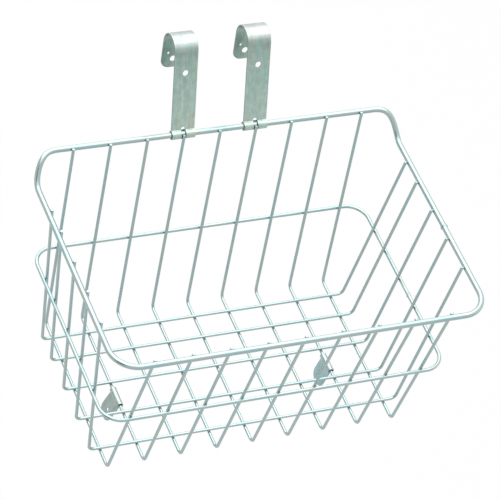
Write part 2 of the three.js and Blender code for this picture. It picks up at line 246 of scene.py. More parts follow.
def end_wall_at(height):
    return floor_half_depth + height * tan(END_LEAN)


def side_wall_at(height):
    return floor_half_width + (height - cross_height) * tan(SIDE_LEAN)


def apart(diameter):
    """Between the centre lines of a lattice wire and a loop that is welded to it."""
    return (LATTICE_WIRE + diameter) / 2 + WELD_GAP


def outside_end(height, diameter):
    return end_wall_at(height) + apart(diameter) / cos(END_LEAN)


def outside_side(height, diameter):
    return side_wall_at(height) + apart(diameter) / cos(SIDE_LEAN)


rim_back_height = RIM_HEIGHT + RIM_STEP
rim_back_y = outside_end(rim_back_height, RIM_WIRE)
crown_radius = CROWN_INSIDE + HOOK_SHEET / 2
handlebar = np.array(
    [
        0,
        rim_back_y + crown_radius * cos(HOOK_LEAN) + HOOK_PLATE * sin(HOOK_LEAN),
        rim_back_height - crown_radius * sin(HOOK_LEAN) + HOOK_PLATE * cos(HOOK_LEAN),
    ]
)


# Pieces

def in_frame(points):
    """From millimetres off the middle of the floor to metres in the part's frame, off the handlebar."""
    return (np.asarray(points, float) - handlebar) / METRE


def joint_place(name):
    """A joint's place, in millimetres off the middle of the floor."""
    joint = next(j for j in frame["joints"] if j["name"] == name)
    return np.array(joint["pos_m"]) * METRE + handlebar


def add_piece(name, points, faces, body, material, node=None):
    """A smooth mesh that rides on a body and, where it is given a CAD node, stands for that."""
    mesh = bpy.data.meshes.new(name)
    mesh.from_pydata(in_frame(points).tolist(), [], faces)
    mesh.shade_smooth()
    mesh.materials.append(material)
    piece = bpy.data.objects.new(name, mesh)
    bpy.context.scene.collection.objects.link(piece)
    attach(piece, body)
    if node:
        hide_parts(node)
    return piece


def set_vectors(mesh, name, vectors):
    attribute = mesh.attributes.new(name, "FLOAT_VECTOR", "POINT")
    attribute.data.foreach_set("vector", np.asarray(vectors, np.float32).ravel())


def place_in_noise():
    return PIECE_SPREAD * noise.random_unit_vector()[0]


def unit(vector):
    vector = np.asarray(vector, float)
    return vector / np.linalg.norm(vector, axis=-1, keepdims=True)


# Centre lines of the wires

def rounded_corner(before, corner, after, radius):
    """Points of the arc that rounds a corner."""
    before, corner, after = (np.asarray(p, float) for p in (before, corner, after))
    arriving = unit(corner - before)
    leaving = unit(after - corner)
    turn = acos(arriving @ leaving)
    inward = unit(leaving - arriving * cos(turn))
    centre = corner - arriving * radius * tan(turn / 2) + inward * radius
    angles = np.linspace(0, turn, ceil(degrees(turn) / ARC_STEP) + 1)[:, None]
    return centre - inward * radius * np.cos(angles) + arriving * radius * np.sin(angles)


def straight_run(start, end):
    """Evenly spaced points between two ends, without the ends."""
    count = ceil(np.linalg.norm(end - start) / RUN_STEP)
    shares = np.arange(1, count)[:, None] / count
    return start + (end - start) * shares


def line_through(stretches, closed=False):
    """One line through bends and ends, with points along the straight runs between them."""
    following = stretches[1:] + (stretches[:1] if closed else [])
    line = [stretches[0]]
    for stretch, after in zip(stretches, following):
        line.append(straight_run(stretch[-1], after[0]))
        line.append(after)
    if closed:
        line.pop()
    return np.concatenate(line)


def bent_wire(corners):
    corners = np.asarray(corners, float)
    bends = [rounded_corner(*corners[i : i + 3], FLOOR_BEND) for i in range(len(corners) - 2)]
    return line_through([corners[:1], *bends, corners[-1:]])


def loop_line(half_width, front_y, back_y, front_radius, back_radius):
    """A flat closed loop with rounded corners, from the middle of its right side."""
    middle = np.array([[half_width, (front_y + back_y) / 2, 0]])
    corners = np.array(
        [
            [half_width, back_y, 0],
            [-half_width, back_y, 0],
            [-half_width, front_y, 0],
            [half_width, front_y, 0],
        ]
    )
    radii = [back_radius, back_radius, front_radius, front_radius]
    bends = [
        rounded_corner(corners[i - 1], corners[i], corners[(i + 1) % 4], radii[i]) for i in range(4)
    ]
    return line_through([middle, *bends], closed=True)


def climbing(loop):
    """The rim's flat loop at its height, with the climb to its back edge and close points along that."""
    end = rim_back_y - RIM_CLIMB_END
    start = end - RIM_CLIMB
    line = []
    for here, there in zip(loop, np.roll(loop, -1, 0)):
        climbs = max(here[1], there[1]) > start and min(here[1], there[1]) < end
        parts = ceil(np.linalg.norm(there - here) / CLIMB_STEP) if climbs else 1
        line.extend(here + (there - here) * part / parts for part in range(parts))
    line = np.array(line)
    share = np.clip((line[:, 1] - start) / RIM_CLIMB, 0, 1) ** RIM_CLIMB_EASE
    line[:, 2] = RIM_HEIGHT + RIM_STEP * share * share * (3 - 2 * share)
    return line


def from_weld(line, y):
    """The loop from its butt weld, a place on its right side, with the close points that the weld needs."""
    right = line[:, 0].max()
    near = np.abs(line[:, 1] - y) < BUTT_REACH
    near &= line[:, 0] > right - BUTT_REACH
    places = np.arange(y - BUTT_REACH, y + BUTT_REACH + BUTT_STEP / 2, BUTT_STEP)
    kept = line[~near]
    extra = np.array([[right, place, kept[0, 2]] for place in places])
    rises = np.flatnonzero((kept[:, 1] < y) & (kept[:, 0] > right - BUTT_REACH))
    after = rises[np.argmax(kept[rises, 1])] + 1
    whole = np.insert(kept, after, extra, axis=0)
    return np.roll(whole, -(after + len(extra) // 2), axis=0)


# Round wire

def frames_along(line, closed):
    """A pair of directions across the line at each of its points, turning as little as they can."""
    ahead = unit(np.roll(line, -1, 0) - line)
    behind = np.roll(ahead, 1, 0)
    if not closed:
        ahead[-1] = behind[-1]
        behind[0] = ahead[0]
    tangents = [Vector(tangent) for tangent in unit(ahead + behind)]
    along_no_wire = Vector((0.31, 0.52, 0.79))
    across = [tangents[0].cross(along_no_wire).normalized()]
    for before, after in zip(tangents, tangents[1:]):
        across.append(before.rotation_difference(after) @ across[-1])
    across = np.array(across)
    return across, np.cross(tangents, across)


def tube_faces(rings, sides, closed):
    """Faces between the rings of points of a tube, and across both ends of an open one."""
    faces = []
    for ring in range(rings if closed else rings - 1):
        here = ring * sides
        there = (ring + 1) % rings * sides
        for side in range(sides):
            after = (side + 1) % sides
            faces.append((here + side, here + after, there + after, there + side))
    if not closed:
        last = (rings - 1) * sides
        faces.append(tuple(range(sides - 1, -1, -1)))
        faces.append(tuple(range(last, last + sides)))
    return faces


def round_wire(name, line, radii, sides, material, node, closed=False):
    """A tube along a line. An open one has cut ends with a small rounding."""
    if not closed:
        line, radii = with_cut_ends(line, radii)
    across, beside = frames_along(line, closed)
    angles = np.linspace(0, 2 * pi, sides, endpoint=False)
    spokes = np.stack([np.cos(angles), np.sin(angles)], 1)
    outward = spokes[:, :1] * across[:, None] + spokes[:, 1:] * beside[:, None]
    points = line[:, None] + outward * radii[:, None, None]
    faces = tube_faces(len(line), sides, closed)
    piece = add_piece(
        name, points.reshape(-1, 3), faces, "wire_basket", material, node
    )
    lengths = np.concatenate([[0], np.cumsum(np.linalg.norm(np.diff(line, axis=0), axis=1))])
    drawn = np.empty((len(line), sides, 3))
    drawn[:, :, :2] = spokes
    drawn[:, :, 2] = (lengths + place_in_noise())[:, None]
    set_vectors(piece.data, "drawn", drawn)


def with_cut_ends(line, radii):
    """The line with the rings of a rounded cut at both ends."""
    turns = np.linspace(0, pi / 2, ROUND_STEPS + 1)
    sink = CUT_ROUND * (1 - np.cos(turns))
    narrow = CUT_ROUND * (1 - np.sin(turns))
    start = unit(line[1] - line[0])
    end = unit(line[-2] - line[-1])
    first = line[0] + np.outer(sink, start)
    last = line[-1] + np.outer(sink[::-1], end)
    line = np.concatenate([first, line[1:-1], last])
    radii = np.concatenate([radii[0] - narrow, radii[1:-1], radii[-1] - narrow[::-1]])
    return line, radii


def butt_weld(line, radius, y):
    """Radii along a loop that swell where its two ends are welded together."""
    off = (line[:, 1] - y) / BUTT_LENGTH
    right = line[:, 0] > line[:, 0].max() - radius
    return radius * (1 + np.where(right, BUTT_SWELL * np.exp(-off * off), 0))


# Welds

def height_on_wire(radius, offset):
    """Of a wire's surface over its centre line, at an offset to the side."""
    return np.sqrt(np.maximum(radius * radius - offset * offset, 0))


def weld(place, along_a, along_b, radius_a, radius_b, seed):
    """The metal squeezed out where wire b crosses wire a: a hollow fillet all round the touching point.
    Its two ends close inside the wires."""
    away = np.cross(along_a, along_b)
    turns = np.linspace(0, 2 * pi, WELD_SIDES, endpoint=False)
    uneven = [noise.noise(Vector((cos(t), sin(t), seed * WELD_SHAPE_STEP))) for t in turns]
    height = WELD_FILLET * (1 + WELD_UNEVEN * np.array(uneven))

    def surfaces(reach):
        """Levels of the two wires at a reach from the touching point."""
        low = height_on_wire(radius_a, reach * np.sin(turns)) - radius_a - WELD_GAP / 2
        high = radius_b + WELD_GAP / 2 - height_on_wire(radius_b, reach * np.cos(turns))
        return low, high

    def reach_where(opening):
        """How far out the gap between the wires has opened so wide."""
        near = np.zeros(WELD_SIDES)
        far = np.full(WELD_SIDES, WELD_LIMIT * min(radius_a, radius_b))
        for _ in range(WELD_HALVINGS):
            reach = (near + far) / 2
            low, high = surfaces(reach)
            near = np.where(high - low < opening, reach, near)
            far = np.where(high - low < opening, far, reach)
        return near

    waist = reach_where(WELD_WAIST * height)
    foot = reach_where(height)
    low, high = surfaces(foot)
    rings = [(WELD_ROOT * foot, low - WELD_SINK * height)]
    for share in np.linspace(0, 1, WELD_RINGS):
        reach = waist + (foot - waist) * (2 * share - 1) ** 2
        rings.append((reach, low + (high - low) * share))
    rings.append((WELD_ROOT * foot, high + WELD_SINK * height))
    points = [
        place
        + np.outer(reach * np.cos(turns), along_a)
        + np.outer(reach * np.sin(turns), along_b)
        + np.outer(level, away)
        for reach, level in rings
    ]
    return np.concatenate(points), tube_faces(len(rings), WELD_SIDES, False)


def weld_places():
    """Each crossing: the touching point, the directions of the two wires and their radii."""
    thin = LATTICE_WIRE / 2
    for x in long_wire_x:
        for y in cross_wire_y:
            yield (x, y, cross_height / 2), (0, 1, 0), (1, 0, 0), thin, thin
    loops = [(RIM_HEIGHT, rim_back_height, RIM_WIRE), (HOOP_HEIGHT, HOOP_HEIGHT, HOOP_WIRE)]
    for front_height, back_height, diameter in loops:
        thick = diameter / 2
        touch = thick + WELD_GAP / 2
        for sign, height in ((-1, front_height), (1, back_height)):
            wall = np.array([0, sign * sin(END_LEAN), cos(END_LEAN)])
            outward = np.array([0, sign * cos(END_LEAN), -sin(END_LEAN)])
            for x in long_wire_x:
                centre = np.array([x, sign * outside_end(height, diameter), height])
                yield centre - outward * touch, wall, (-sign, 0, 0), thin, thick
        for sign in (-1, 1):
            wall = np.array([sign * sin(SIDE_LEAN), 0, cos(SIDE_LEAN)])
            outward = np.array([sign * cos(SIDE_LEAN), 0, -sin(SIDE_LEAN)])
            for y in cross_wire_y:
                swept = y + (front_height - cross_height) * tan(SIDE_SWEEP)
                side = sign * outside_side(front_height, diameter)
                centre = np.array([side, swept, front_height])
                yield centre - outward * touch, wall, (0, sign, 0), thin, thick


def make_welds(material):
    """The fillets of all the welds, as one piece."""
    points, faces, drawn = [], [], []
    for seed, (place, along_a, along_b, radius_a, radius_b) in enumerate(weld_places()):
        along_a, along_b = np.asarray(along_a, float), np.asarray(along_b, float)
        some, around = weld(np.asarray(place), along_a, along_b, radius_a, radius_b, seed)
        first = len(points) * len(some)
        points.append(some)
        faces.extend(tuple(first + corner for corner in face) for face in around)
        drawn.append(some - place + [0, 0, WELD_LOOK_STEP * seed])
    piece = add_piece(
        "weld_nuggets", np.concatenate(points), faces, "wire_basket", material
    )
    set_vectors(piece.data, "drawn", np.concatenate(drawn))


# Bent sheet

class Run:
    """A straight stretch of a bend line."""

    def __init__(self, start, end):
        self.start = np.array(start, float)
        self.end = np.array(end, float)
        self.length = np.hypot(*(self.end - self.start))

    def at(self, share):
        """Point and direction at a share of the length."""
        return self.start + (self.end - self.start) * share, unit(self.end - self.start)

    def steps(self):
        return ceil(self.length / SHEET_STEP)


class Arc:
    """A round stretch of a bend line, from one angle to another in degrees."""

    def __init__(self, centre, radius, start, end):
        self.centre = np.array(centre, float)
        self.radius = radius
        self.start = start
        self.end = end
        self.length = radius * abs(radians(end - start))

    def at(self, share):
        """Point and direction at a share of the length."""
        angle = radians(self.start + (self.end - self.start) * share)
        spoke = np.array([cos(angle), sin(angle)])
        way = 1 if self.end > self.start else -1
        return self.centre + self.radius * spoke, way * np.array([-spoke[1], spoke[0]])

    def steps(self):
        return ceil(max(self.length / SHEET_STEP, abs(self.end - self.start) / SHEET_ARC_STEP))


class BendLine:
    """The middle of a bent sheet seen from its side: runs and arcs, by the distance along it."""

    def __init__(self):
        self.stretches = []
        self.length = 0

    def add(self, stretch):
        """Adds a run or an arc, and keeps the distance at which it begins."""
        self.stretches.append((self.length, stretch))
        self.length += stretch.length

    def at(self, distance):
        """Point and direction at a distance along the line."""
        found = [pair for pair in self.stretches if pair[0] <= distance] or self.stretches[:1]
        begin, stretch = found[-1]
        return stretch.at((distance - begin) / stretch.length)

    def rows(self):
        """Distances of the rows of points: close together in bends."""
        rows = [0]
        for begin, stretch in self.stretches:
            steps = stretch.steps()
            rows.extend(begin + stretch.length * (i + 1) / steps for i in range(steps))
        return np.array(rows)


def rolled_eye(wire, clearance, sheet):
    """From the free edge behind the plate, round the wire, and through the neck into the plate.
    Also gives the radius of the roll and the height at which the neck ends."""
    roll = wire / 2 + clearance + sheet / 2
    neck = sheet
    side = acos(-neck / (roll + neck))
    neck_centre = ((roll + neck) * cos(side), (roll + neck) * sin(side))
    line = BendLine()
    line.add(Arc((0, 0), roll, 90 - ROLL_GAP, degrees(side) - 360))
    line.add(Arc(neck_centre, neck, degrees(side) - 180, 0))
    return line, roll, neck_centre[1]


def round_hole(x, distance, diameter, sides):
    turns = np.linspace(0, -2 * pi, sides, endpoint=False)
    return np.stack([x + diameter / 2 * np.cos(turns), distance + diameter / 2 * np.sin(turns)], 1)


def corner_arc(x, distance, radius, start):
    """A quarter circle of an outline, from an angle in degrees."""
    steps = max(CORNER_STEPS, ceil(radius * CORNER_FINENESS))
    turns = np.radians(np.linspace(start, start + 90, steps + 1))
    return np.stack([x + radius * np.cos(turns), distance + radius * np.sin(turns)], 1)


def blank_outline(width, rows, near_corner, far_corner):
    """Outline of the flat blank: straight sides with a point on each row, and rounded corners."""
    half = width / 2
    length = rows[-1]
    beyond_near = rows > near_corner + ROW_MARGIN
    before_far = rows < length - far_corner - ROW_MARGIN
    side_rows = rows[beyond_near & before_far]
    columns = np.arange(near_corner - half, half - near_corner + ROW_MARGIN, SHEET_STEP)[1:-1]
    ends = np.linspace(half - far_corner, far_corner - half, END_POINTS)[1:-1]
    return np.concatenate(
        [
            np.stack([columns, 0 * columns], 1),
            corner_arc(half - near_corner, near_corner, near_corner, -90),
            np.stack([0 * side_rows + half, side_rows], 1),
            corner_arc(half - far_corner, length - far_corner, far_corner, 0),
            np.stack([ends, 0 * ends + length], 1),
            corner_arc(far_corner - half, length - far_corner, far_corner, 90),
            np.stack([0 * side_rows - half, side_rows[::-1]], 1),
            corner_arc(near_corner - half, near_corner, near_corner, 180),
        ]
    )


def inside(points, loop):
    """Which points lie inside a loop."""
    x, y = points[:, :1], points[:, 1:]
    x1, y1 = loop.T
    x2, y2 = np.roll(loop, -1, 0).T
    level = (y1 > y) != (y2 > y)
    with np.errstate(divide="ignore", invalid="ignore"):
        crossing = level & (x < (x2 - x1) * (y - y1) / (y2 - y1) + x1)
    return crossing.sum(1) % 2 == 1


def in_metal(points, loops):
    """Which points lie inside the first loop, the outline, and outside the others, its holes."""
    metal = inside(points, loops[0])
    for hole in loops[1:]:
        metal &= ~inside(points, hole)
    return metal


def distance_to(points, loop):
    step = np.roll(loop, -1, 0) - loop
    offset = points[:, None] - loop
    share = np.clip((offset * step).sum(2) / (step * step).sum(1), 0, 1)
    return np.linalg.norm(offset - share[..., None] * step, axis=2).min(1)


def outward_of(loop):
    """Directions away from the metal along a loop that keeps the metal on its left."""
    ahead = unit(np.roll(loop, -1, 0) - loop)
    along = unit(ahead + np.roll(ahead, 1, 0))
    return np.stack([along[:, 1], -along[:, 0]], 1)


def first_points(loops):
    """Number of each loop's first point in a list of all their points."""
    return np.cumsum([0, *(len(loop) for loop in loops)])[:-1]


def filled_blank(loops, rows, columns):
    """Points of a flat face, those of its loops first, and the triangles between them."""
    grid = np.array([(x, row) for row in rows for x in columns])
    margin = np.min([distance_to(grid, loop) for loop in loops], axis=0)
    flat = np.concatenate([*loops, grid[in_metal(grid, loops) & (margin > SHEET_MARGIN)]])
    edges = [
        (int(first + i), int(first + (i + 1) % len(loop)))
        for first, loop in zip(first_points(loops), loops)
        for i in range(len(loop))
    ]
    triangles = delaunay_2d_cdt([Vector(p) for p in flat], edges, [], 0, SAME_POINT)[2]
    centres = np.array([flat[list(triangle)].mean(0) for triangle in triangles])
    metal = in_metal(centres, loops)
    return flat, [tuple(t) for t, is_metal in zip(triangles, metal) if is_metal]


def band_faces(rings):
    """Faces between closed rings of numbered points."""
    faces = []
    for here, there in zip(rings, rings[1:]):
        for i in range(len(here)):
            j = (i + 1) % len(here)
            faces.append((int(here[j]), int(here[i]), int(there[i]), int(there[j])))
    return faces


def bent_sheet(name, bend, sheet, width, outline, holes, place, body, material, node):
    """A sheet-metal piece: a flat blank with rounded edges, laid along its bend line."""
    edge = SHEET_ROUND * sheet
    loops = [outline, *holes]
    away = [outward_of(loop) for loop in loops]
    inset = [loop - edge * out for loop, out in zip(loops, away)]
    count = ceil((width - 2 * edge) / SHEET_STEP)
    columns = np.linspace(edge - width / 2, width / 2 - edge, count + 1)[1:-1]
    flat, front = filled_blank(inset, bend.rows(), columns)

    # The two faces of the blank come first, and then the rings of its rounded edges.
    total = len(flat)
    blank = [flat, flat]
    tilt = [np.tile([0, 0, 1.0], (total, 1)), np.tile([0, 0, -1.0], (total, 1))]
    level = [np.full(total, sheet / 2), np.full(total, -sheet / 2)]
    faces = [*front, *(tuple(total + corner for corner in face[::-1]) for face in front)]
    used = 2 * total
    turns = np.linspace(pi / 2, 0, ROUND_STEPS + 1)[1:]
    profile = [(turn, 1) for turn in turns] + [(-turn, -1) for turn in turns[::-1]]
    for first, line, out in zip(first_points(inset), inset, away):
        size = len(line)
        rings = [first + np.arange(size)]
        for turn, side in profile:
            blank.append(line + edge * cos(turn) * out)
            level.append(np.full(size, side * (sheet / 2 - edge) + edge * sin(turn)))
            tilt.append(np.hstack([cos(turn) * out, np.full((size, 1), sin(turn))]))
            rings.append(used + np.arange(size))
            used += size
        rings.append(total + first + np.arange(size))
        faces.extend(band_faces(rings))

    blank, tilt, level = np.concatenate(blank), np.concatenate(tilt), np.concatenate(level)
    points, normals = lay_along(bend, blank, level, tilt)
    rotation, hinge = place
    piece = add_piece(
        name, points @ rotation.T + hinge, faces, body, material, node
    )
    dress_sheet(piece.data, blank, level, tilt, normals @ rotation.T, 2 * total)


def lay_along(bend, blank, level, tilt):
    """Points and normals of a bent sheet: x across it, then the two directions of its side view."""
    points, normals = [], []
    for (x, distance), height, lean in zip(blank, level, tilt):
        middle, way = bend.at(distance)
        outer = np.array([-way[1], way[0]])
        points.append([x, *(middle + height * outer)])
        normals.append([lean[0], *(lean[1] * way + lean[2] * outer)])
    return np.array(points), np.array(normals)


def dress_sheet(mesh, blank, level, tilt, normals, face_points):
    """Exact normals, the blank's own coordinates for the material, and where its cut edges are."""
    bare = bmesh.new()
    bare.from_mesh(mesh)
    flats = [f for f in bare.faces if all(v.index < face_points for v in f.verts)]
    bmesh.ops.join_triangles(
        bare, faces=flats, angle_face_threshold=JOIN_BEND, angle_shape_threshold=JOIN_SKEW
    )
    bare.to_mesh(mesh)
    bare.free()
    mesh.normals_split_custom_set_from_vertices(normals.tolist())
    depth = SHEET_SIDE_STEP * np.sign(level)[:, None]
    set_vectors(mesh, "rolled", np.hstack([blank + [place_in_noise(), 0], depth]))
    cut = mesh.attributes.new("cut_edge", "FLOAT", "POINT")
    cut.data.foreach_set("value", (1 - np.abs(tilt[:, 2])).astype(np.float32))


def strap_slot(bend, roll, neck_top):
    """Outline of the slot, from the front of the roll, under the long wire, up into the plate."""
    neck_start, neck = bend.stretches[1]
    plate_start, _ = bend.stretches[2]

    # The lower end lies just below the place where the outside of the roll meets the long wire.
    outer = roll + HOOK_SHEET / 2
    wire_edge = acos((RIM_WIRE / 2 + WELD_GAP) / outer) + STOP_CLEARANCE / outer
    stop = degrees(pi - END_LEAN + wire_edge + HOOK_LEAN) - 360
    slot_start = roll * radians(90 - ROLL_GAP - stop)
    half = SLOT_WIDTH / 2
    rows = bend.rows()
    rows = rows[(rows > slot_start + SLOT_CORNER + ROW_MARGIN) & (rows < neck_start)]

    def distance_at(height):
        """Distance along the strap to a height in its neck or its plate."""
        if height > neck_top:
            return plate_start + height - neck_top
        angle = asin((height - neck_top) / neck.radius)
        return neck_start + neck.radius * (angle - radians(neck.start))

    turns = np.linspace(0, pi, SLOT_TOP_POINTS)
    heights = SLOT_TOP - half + half * np.sin(turns)
    tops = np.array([distance_at(height) for height in heights])
    slot = np.concatenate(
        [
            corner_arc(half - SLOT_CORNER, slot_start + SLOT_CORNER, SLOT_CORNER, -90),
            np.stack([0 * rows + half, rows], 1),
            np.stack([half * np.cos(turns), tops], 1),
            np.stack([0 * rows - half, rows[::-1]], 1),
            corner_arc(SLOT_CORNER - half, slot_start + SLOT_CORNER, SLOT_CORNER, 180),
        ]
    )
    return slot[::-1]


def hook_strap(side, material):
    bend, roll, neck_top = rolled_eye(RIM_WIRE, HOOK_EYE_CLEARANCE, HOOK_SHEET)
    plate_start = bend.length
    bend.add(Run((0, neck_top), (0, HOOK_PLATE)))
    bend.add(Arc((crown_radius, HOOK_PLATE), crown_radius, 180, TONGUE_SPREAD))
    crown_end = bend.length
    start, way = bend.at(crown_end)
    bend.add(Run(start, start + TONGUE_LENGTH * way))
    plate_bolt = plate_start + BOLT_HEIGHT - neck_top
    tongue_bolt = crown_end + HOOK_PLATE - BOLT_HEIGHT
    pips = [
        round_hole(x, tongue_bolt - PIP_RISE, PIP_HOLE, PIP_SIDES)
        for x in (-PIP_SPACING / 2, PIP_SPACING / 2)
    ]
    holes = [
        strap_slot(bend, roll, neck_top),
        round_hole(0, plate_bolt, PLATE_BOLT_HOLE, BOLT_HOLE_SIDES),
        round_hole(0, tongue_bolt, TONGUE_BOLT_HOLE, BOLT_HOLE_SIDES),
        *pips,
    ]
    outline = blank_outline(HOOK_WIDTH, bend.rows(), EYE_CORNER, TONGUE_CORNER)
    rotation = np.array(Matrix.Rotation(-HOOK_LEAN, 3, "X"))
    place = rotation, joint_place(f"{side}_hook_swing")
    name = f"{side}_strap"
    node = f"{side}_hook_strap"
    bent_sheet(
        name, bend, HOOK_SHEET, HOOK_WIDTH, outline, holes, place, f"{side}_hook", material, node
    )


def stay_clip(side, material):
    bend, _, neck_top = rolled_eye(LATTICE_WIRE, CLIP_EYE_CLEARANCE, CLIP_SHEET)
    plate_start = bend.length
    bend.add(Run((0, neck_top), (0, CLIP_LENGTH)))
    bolt = round_hole(0, plate_start + CLIP_BOLT - neck_top, CLIP_BOLT_HOLE, CLIP_HOLE_SIDES)
    outline = blank_outline(CLIP_WIDTH, bend.rows(), EYE_CORNER, CLIP_CORNER)
    tilt = CLIP_TILT[side]
    rotation = np.array(
        [[0, cos(tilt), -sin(tilt)], [1, 0, 0], [0, -sin(tilt), -cos(tilt)]]
    )
    place = rotation, joint_place(f"{side}_clip_turn")
    name = f"{side}_clip"
    node = f"{side}_stay_clip"
    bent_sheet(
        name, bend, CLIP_SHEET, CLIP_WIDTH, outline, [bolt], place, f"{side}_clip", material, node
    )


# Materials

class Shader:
    """A node material, built from its principled shader back."""

    def __init__(self, name):
        self.material = bpy.data.materials.new(name)
        self.material.use_nodes = True
        self.tree = self.material.node_tree
        self.surface = self.tree.nodes["Principled BSDF"]

    def node(self, kind, inputs=(), **settings):
        node = self.tree.nodes.new(kind)
        for name, value in settings.items():
            setattr(node, name, value)
        self.connect(node, dict(inputs))
        return node

    def connect(self, node, inputs):
        """Feeds a node's inputs, by their names or numbers, from other nodes or with plain values."""
        for key, value in inputs.items():
            if isinstance(value, bpy.types.NodeSocket):
                self.tree.links.new(value, node.inputs[key])
            else:
                node.inputs[key].default_value = value

    def attribute(self, name, output="Vector"):
        return self.node("ShaderNodeAttribute", attribute_name=name).outputs[output]

    def stretched_noise(self, vector, stretch, detail, roughness=0.55):
        scaled = self.node("ShaderNodeMapping", {"Vector": vector, "Scale": stretch})
        inputs = {"Vector": scaled.outputs[0], "Scale": 1, "Detail": detail, "Roughness": roughness}
        return self.node("ShaderNodeTexNoise", inputs).outputs["Fac"]

    def ramp(self, value, stops):
        ramp = self.node("ShaderNodeValToRGB", {"Fac": value})
        elements = ramp.color_ramp.elements
        while len(elements) < len(stops):
            elements.new(0.5)
        for element, (position, colour) in zip(elements, stops):
            element.position = position
            element.color = (*colour, 1)
        return ramp.outputs["Color"]

    def between(self, value, low, high, start=0.3, end=0.7):
        """From the range of a noise, or of another value, to a range of its own."""
        inputs = {"Value": value, "From Min": start, "From Max": end, "To Min": low, "To Max": high}
        return self.node("ShaderNodeMapRange", inputs).outputs["Result"]

    def mixed(self, share, first, second, blend="MIX"):
        """One colour laid over another. The node has sockets for colours after those for other kinds."""
        node = self.node("ShaderNodeMix", data_type="RGBA", blend_type=blend)
        self.connect(node, {0: share, 6: first, 7: second})
        return node.outputs[2]

    def bump(self, height, strength, depth):
        inputs = {"Height": height, "Strength": strength, "Distance": depth}
        return self.node("ShaderNodeBump", inputs).outputs["Normal"]


def zinc_wire():
    """Drawn wire, zinc-plated after welding: fine lines along it and a faint cloudy tint."""
    shader = Shader("zinc_wire_look")
    drawn = shader.attribute("drawn")
    lines = shader.stretched_noise(drawn, WIRE_LINES, detail=4)
    clouds = shader.stretched_noise(drawn, WIRE_CLOUDS, detail=2)
    shader.connect(
        shader.surface,
        {
            "Metallic": 1,
            "Base Color": shader.ramp(clouds, WIRE_TINTS),
            "Roughness": shader.between(lines, *WIRE_ROUGHNESS),
            "Normal": shader.bump(lines, WIRE_RELIEF, LINE_DEPTH),
        },
    )
    return shader.material


def zinc_sheet(name, length, shades):
    """Rolled strip, zinc-plated: colours with painted light and shade that change along it, lines and streaks
    along it, broad bands of a faint rainbow film, soft stains, and cut edges darkened with painted shade."""
    shader = Shader(name)
    rolled = shader.attribute("rolled")
    lines = shader.stretched_noise(rolled, SHEET_LINES, detail=5, roughness=0.6)
    bands = shader.stretched_noise(rolled, SHEET_BANDS, detail=3)
    streaks = shader.stretched_noise(rolled, SHEET_STREAKS, detail=4, roughness=0.65)
    stains = shader.stretched_noise(rolled, SHEET_STAINS, detail=2)
    along = shader.node("ShaderNodeSeparateXYZ", {"Vector": rolled}).outputs["Y"]
    # the strip's own tint with painted light and shade, by the distance along it
    tone_and_painted_light = shader.ramp(shader.between(along, 0, 1, 0, length), shades)
    tinted = shader.mixed(1, tone_and_painted_light, shader.ramp(bands, SHEET_FILM), "MULTIPLY")
    streaked = shader.mixed(1, tinted, shader.between(streaks, *STREAK_SHADES), "MULTIPLY")
    stained = shader.mixed(1, streaked, shader.between(stains, *STAIN_SHADES), "MULTIPLY")
    # the cut edges get painted shade
    cut = shader.attribute("cut_edge", "Fac")
    shader.connect(
        shader.surface,
        {
            "Metallic": 1,
            "Base Color": shader.mixed(cut, stained, CUT_EDGE_PAINTED_SHADE),
            "Roughness": shader.between(lines, *SHEET_ROUGHNESS),
            "Normal": shader.bump(lines, SHEET_RELIEF, LINE_DEPTH),
        },
    )
    return shader.material


# Stage

def seen_white(tree):
    """1 for a ray that shows the background: from the camera, off metal or through glass."""
    path = tree.nodes.new("ShaderNodeLightPath")
    value = path.outputs["Is Camera Ray"]
    for name in ("Is Glossy Ray", "Is Transmission Ray"):
        either = tree.nodes.new("ShaderNodeMath")
        either.operation = "MAXIMUM"
        tree.links.new(value, either.inputs[0])
        tree.links.new(path.outputs[name], either.inputs[1])
        value = either.outputs[0]
    return value


def make_world():
    """White where it is seen, and a dim even light on everything else."""
    world = bpy.data.worlds.new("white_room")
    bpy.context.scene.world = world
    world.use_nodes = True
    tree = world.node_tree
    tree.nodes.clear()
    mix = tree.nodes.new("ShaderNodeMixShader")
    tree.links.new(seen_white(tree), mix.inputs[0])
    for socket, strength in ((1, FILL_WORLD), (2, 1)):
        background = tree.nodes.new("ShaderNodeBackground")
        background.inputs["Color"].default_value = WHITE
        background.inputs["Strength"].default_value = strength
        tree.links.new(background.outputs[0], mix.inputs[socket])
    output = tree.nodes.new("ShaderNodeOutputWorld")
    tree.links.new(mix.outputs[0], output.inputs["Surface"])


def make_floor():
    """A pale floor far below the basket, nearly plain white where it is seen."""
    half = FLOOR_SIZE / 2
    mesh = bpy.data.meshes.new("floor")
    corners = [(-half, -half), (half, -half), (half, half), (-half, half)]
    mesh.from_pydata([(x, y, FLOOR_LEVEL) for x, y in corners], [], [(0, 1, 2, 3)])
    floor = bpy.data.objects.new("floor", mesh)
    bpy.context.scene.collection.objects.link(floor)
    material = bpy.data.materials.new("white_floor")
    material.use_nodes = True
    mesh.materials.append(material)
    tree = material.node_tree
    tree.nodes.clear()
    paint = tree.nodes.new("ShaderNodeBsdfDiffuse")
    paint.inputs["Color"].default_value = FLOOR_PAINT
    glow = tree.nodes.new("ShaderNodeEmission")
    glow.inputs["Strength"].default_value = 1
    share = tree.nodes.new("ShaderNodeMath")
    share.operation = "MULTIPLY"
    share.inputs[1].default_value = FLOOR_GLOW
    mix = tree.nodes.new("ShaderNodeMixShader")
    output = tree.nodes.new("ShaderNodeOutputMaterial")
    tree.links.new(seen_white(tree), share.inputs[0])
    tree.links.new(share.outputs[0], mix.inputs[0])
    tree.links.new(paint.outputs[0], mix.inputs[1])
    tree.links.new(glow.outputs[0], mix.inputs[2])
    tree.links.new(mix.outputs[0], output.inputs["Surface"])


